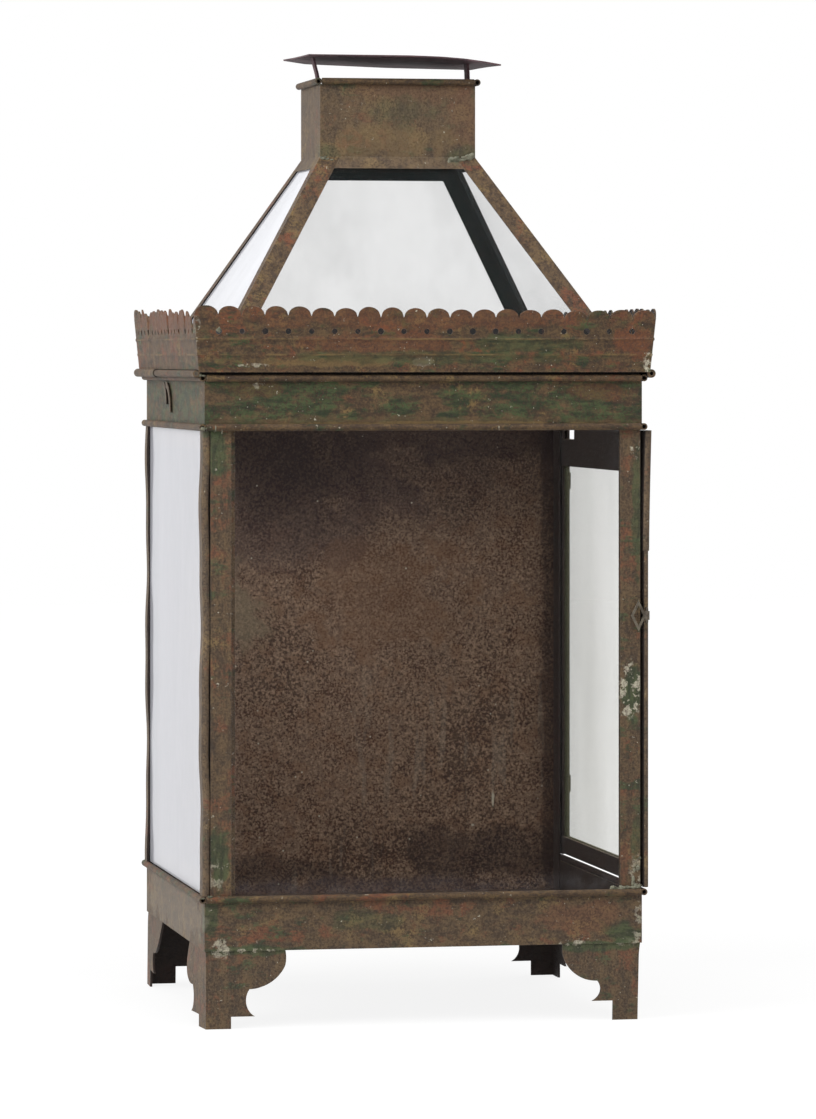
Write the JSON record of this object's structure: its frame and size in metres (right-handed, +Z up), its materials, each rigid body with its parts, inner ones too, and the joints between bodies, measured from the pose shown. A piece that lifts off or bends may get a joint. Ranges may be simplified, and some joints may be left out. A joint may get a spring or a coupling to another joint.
{
  "type": "candle lantern",
  "caption": "Free-standing square candle lantern of worn painted sheet iron with glazed sides, hinged side door, hinged hipped glass roof, pierced gallery, chimney and cap.",
  "frame": {"origin": "on the ground, under the middle of the body", "axes": "+Z up, front pane towards -Y, door on +X, lid hinge on -X"},
  "size_m": [0.3178, 0.287, 0.659],
  "materials": {
    "painted_iron": "old green oil paint worn through to brown primer and rust",
    "rusted_iron": "bare sheet iron, brown with fine dark rust specks",
    "cap_iron": "smoked brown paint, matt",
    "wire_iron": "grey brown iron wire and strip",
    "window_glass": "clear old window glass"
  },
  "bodies": {
    "body": {"back_panel": "rusted_iron", "door_hinge_pins": "wire_iron", "door_post_straps": "painted_iron", "floor_plate": "rusted_iron", "foot_back_left": "painted_iron", "foot_back_right": "painted_iron", "foot_front_left": "painted_iron", "foot_front_right": "painted_iron", "frieze_band": "painted_iron", "frieze_bottom_beads": "painted_iron", "frieze_top_beads": "painted_iron", "frieze_vent_lips": "painted_iron", "front_glass": "window_glass", "left_light_back_stile": "painted_iron", "left_light_bottom_rail": "painted_iron", "left_light_front_stile": "painted_iron", "left_light_glass": "window_glass", "left_light_top_rail": "painted_iron", "lid_hinge_sleeve": "painted_iron", "lid_hinge_wire": "wire_iron", "plinth_band": "painted_iron", "plinth_beads": "painted_iron", "post_back_left": "painted_iron", "post_back_right": "painted_iron", "post_front_left": "painted_iron", "post_front_right": "painted_iron"},
    "lid": {"cap_strap_left": "cap_iron", "cap_strap_right": "cap_iron", "chimney_beads": "painted_iron", "chimney_skirt": "painted_iron", "chimney_walls": "painted_iron", "gallery_back": "painted_iron", "gallery_front": "painted_iron", "gallery_left": "painted_iron", "gallery_right": "painted_iron", "gallery_right_roll": "painted_iron", "hip_back_left": "painted_iron", "hip_back_right": "painted_iron", "hip_front_left": "painted_iron", "hip_front_right": "painted_iron", "roof_glass_back": "window_glass", "roof_glass_front": "window_glass", "roof_glass_left": "window_glass", "roof_glass_right": "window_glass", "vent_cap": "cap_iron", "eaves_ledge": "painted_iron", "lid_collar": "painted_iron", "lid_hinge_knuckle": "painted_iron", "roof_rails": "painted_iron"},
    "door": {"door_front_stile": "painted_iron", "door_back_stile": "painted_iron", "door_top_rail": "painted_iron", "door_bottom_rail": "painted_iron", "door_glass": "window_glass", "door_straps": "painted_iron", "hasp_staple": "wire_iron"},
    "hasp": {"hasp_ring": "wire_iron"}
  },
  "joints": [
    {"name": "lid_hinge", "type": "hinge", "parent": "body", "child": "lid", "pos_m": [-0.156, 0, 0.438], "axis": [0, -1, 0], "range_deg": [0, 160]},
    {"name": "door_hinge", "type": "hinge", "parent": "body", "child": "door", "pos_m": [0.1541, 0.1315, 0.245], "axis": [0, 0, 1], "range_deg": [0, 170]},
    {"name": "hasp_hinge", "type": "hinge", "parent": "door", "child": "hasp", "pos_m": [0.1531, -0.1372, 0.274], "axis": [0, 0, 1], "range_deg": [0, 175]}
  ]
}
